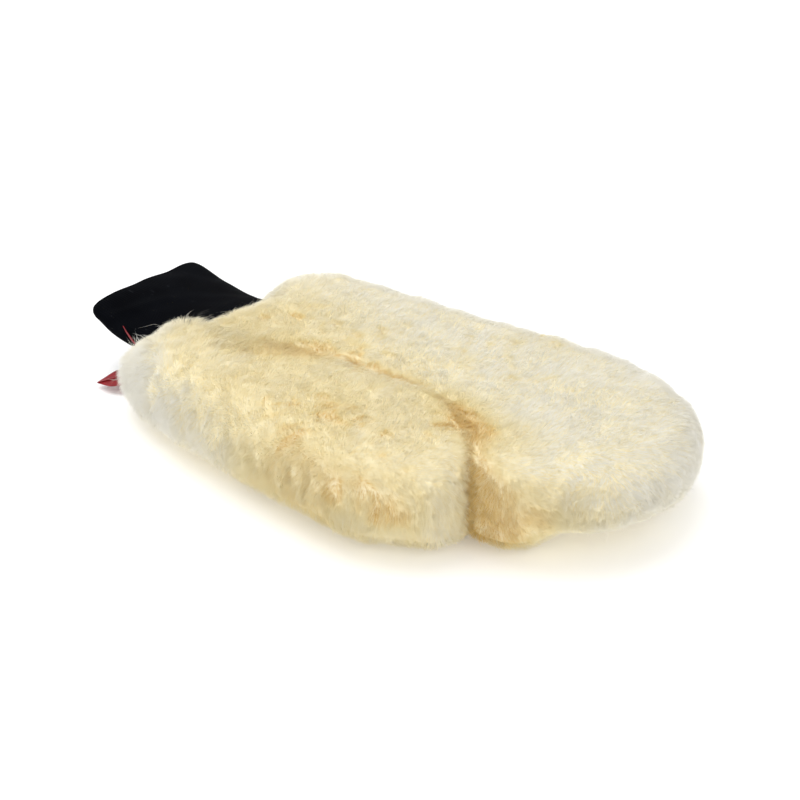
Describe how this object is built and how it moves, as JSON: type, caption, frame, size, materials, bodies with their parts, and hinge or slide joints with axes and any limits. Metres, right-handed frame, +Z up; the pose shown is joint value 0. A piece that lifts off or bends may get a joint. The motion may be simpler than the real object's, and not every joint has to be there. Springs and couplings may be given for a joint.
{
  "type": "wash mitt",
  "caption": "Sheepskin wash mitt with a thumb, double-knit wrist cuff and ribbon hanging loop; fingers, thumb, cuff and loop bend.",
  "frame": {"origin": "on the table the mitt lies on, under the middle of the palm", "axes": "+X from the wrist to the fingertips, the thumb on the -Y side, +Z up from the table"},
  "size_m": [0.3589, 0.1968, 0.054],
  "materials": {
    "wool": "matte",
    "leather": "matte",
    "seam_thread": "matte",
    "knit": "matte",
    "dark_thread": "matte",
    "ribbon": "satin"
  },
  "bodies": {
    "palm": {"upper_pile_palm": "wool", "lower_pile_palm": "wool", "upper_skin_palm": "leather", "lower_skin_palm": "leather", "palm_far_seam": "seam_thread", "palm_near_seam": "seam_thread", "wrist_seam": "seam_thread", "loop_root": "ribbon", "loop_bar_tack": "dark_thread"},
    "fingers": {"upper_pile_fingers": "wool", "lower_pile_fingers": "wool", "upper_skin_fingers": "leather", "lower_skin_fingers": "leather", "fingertip_seam": "seam_thread"},
    "thumb": {"upper_pile_thumb": "wool", "lower_pile_thumb": "wool", "upper_skin_thumb": "leather", "lower_skin_thumb": "leather", "thumb_seam": "seam_thread"},
    "cuff": {"knit_cuff": "knit", "cuff_side_seam": "dark_thread"},
    "loop": {"hang_loop": "ribbon"}
  },
  "joints": [
    {"name": "finger_curl", "type": "hinge", "parent": "palm", "child": "fingers", "pos_m": [0.055, -0.03, 0.027], "axis": [0, -1, 0], "range_deg": [0, 60]},
    {"name": "thumb_spread", "type": "hinge", "parent": "palm", "child": "thumb", "pos_m": [0.055, -0.086, 0.027], "axis": [0, 0, -1], "range_deg": [0, 30]},
    {"name": "cuff_bend", "type": "hinge", "parent": "palm", "child": "cuff", "pos_m": [-0.073, -0.02, 0.027], "axis": [0, 1, 0], "range_deg": [-20, 60]},
    {"name": "loop_swing", "type": "hinge", "parent": "palm", "child": "loop", "pos_m": [-0.0825, -0.058, 0.0098], "axis": [0, 0, 1], "range_deg": [-25, 25]}
  ]
}
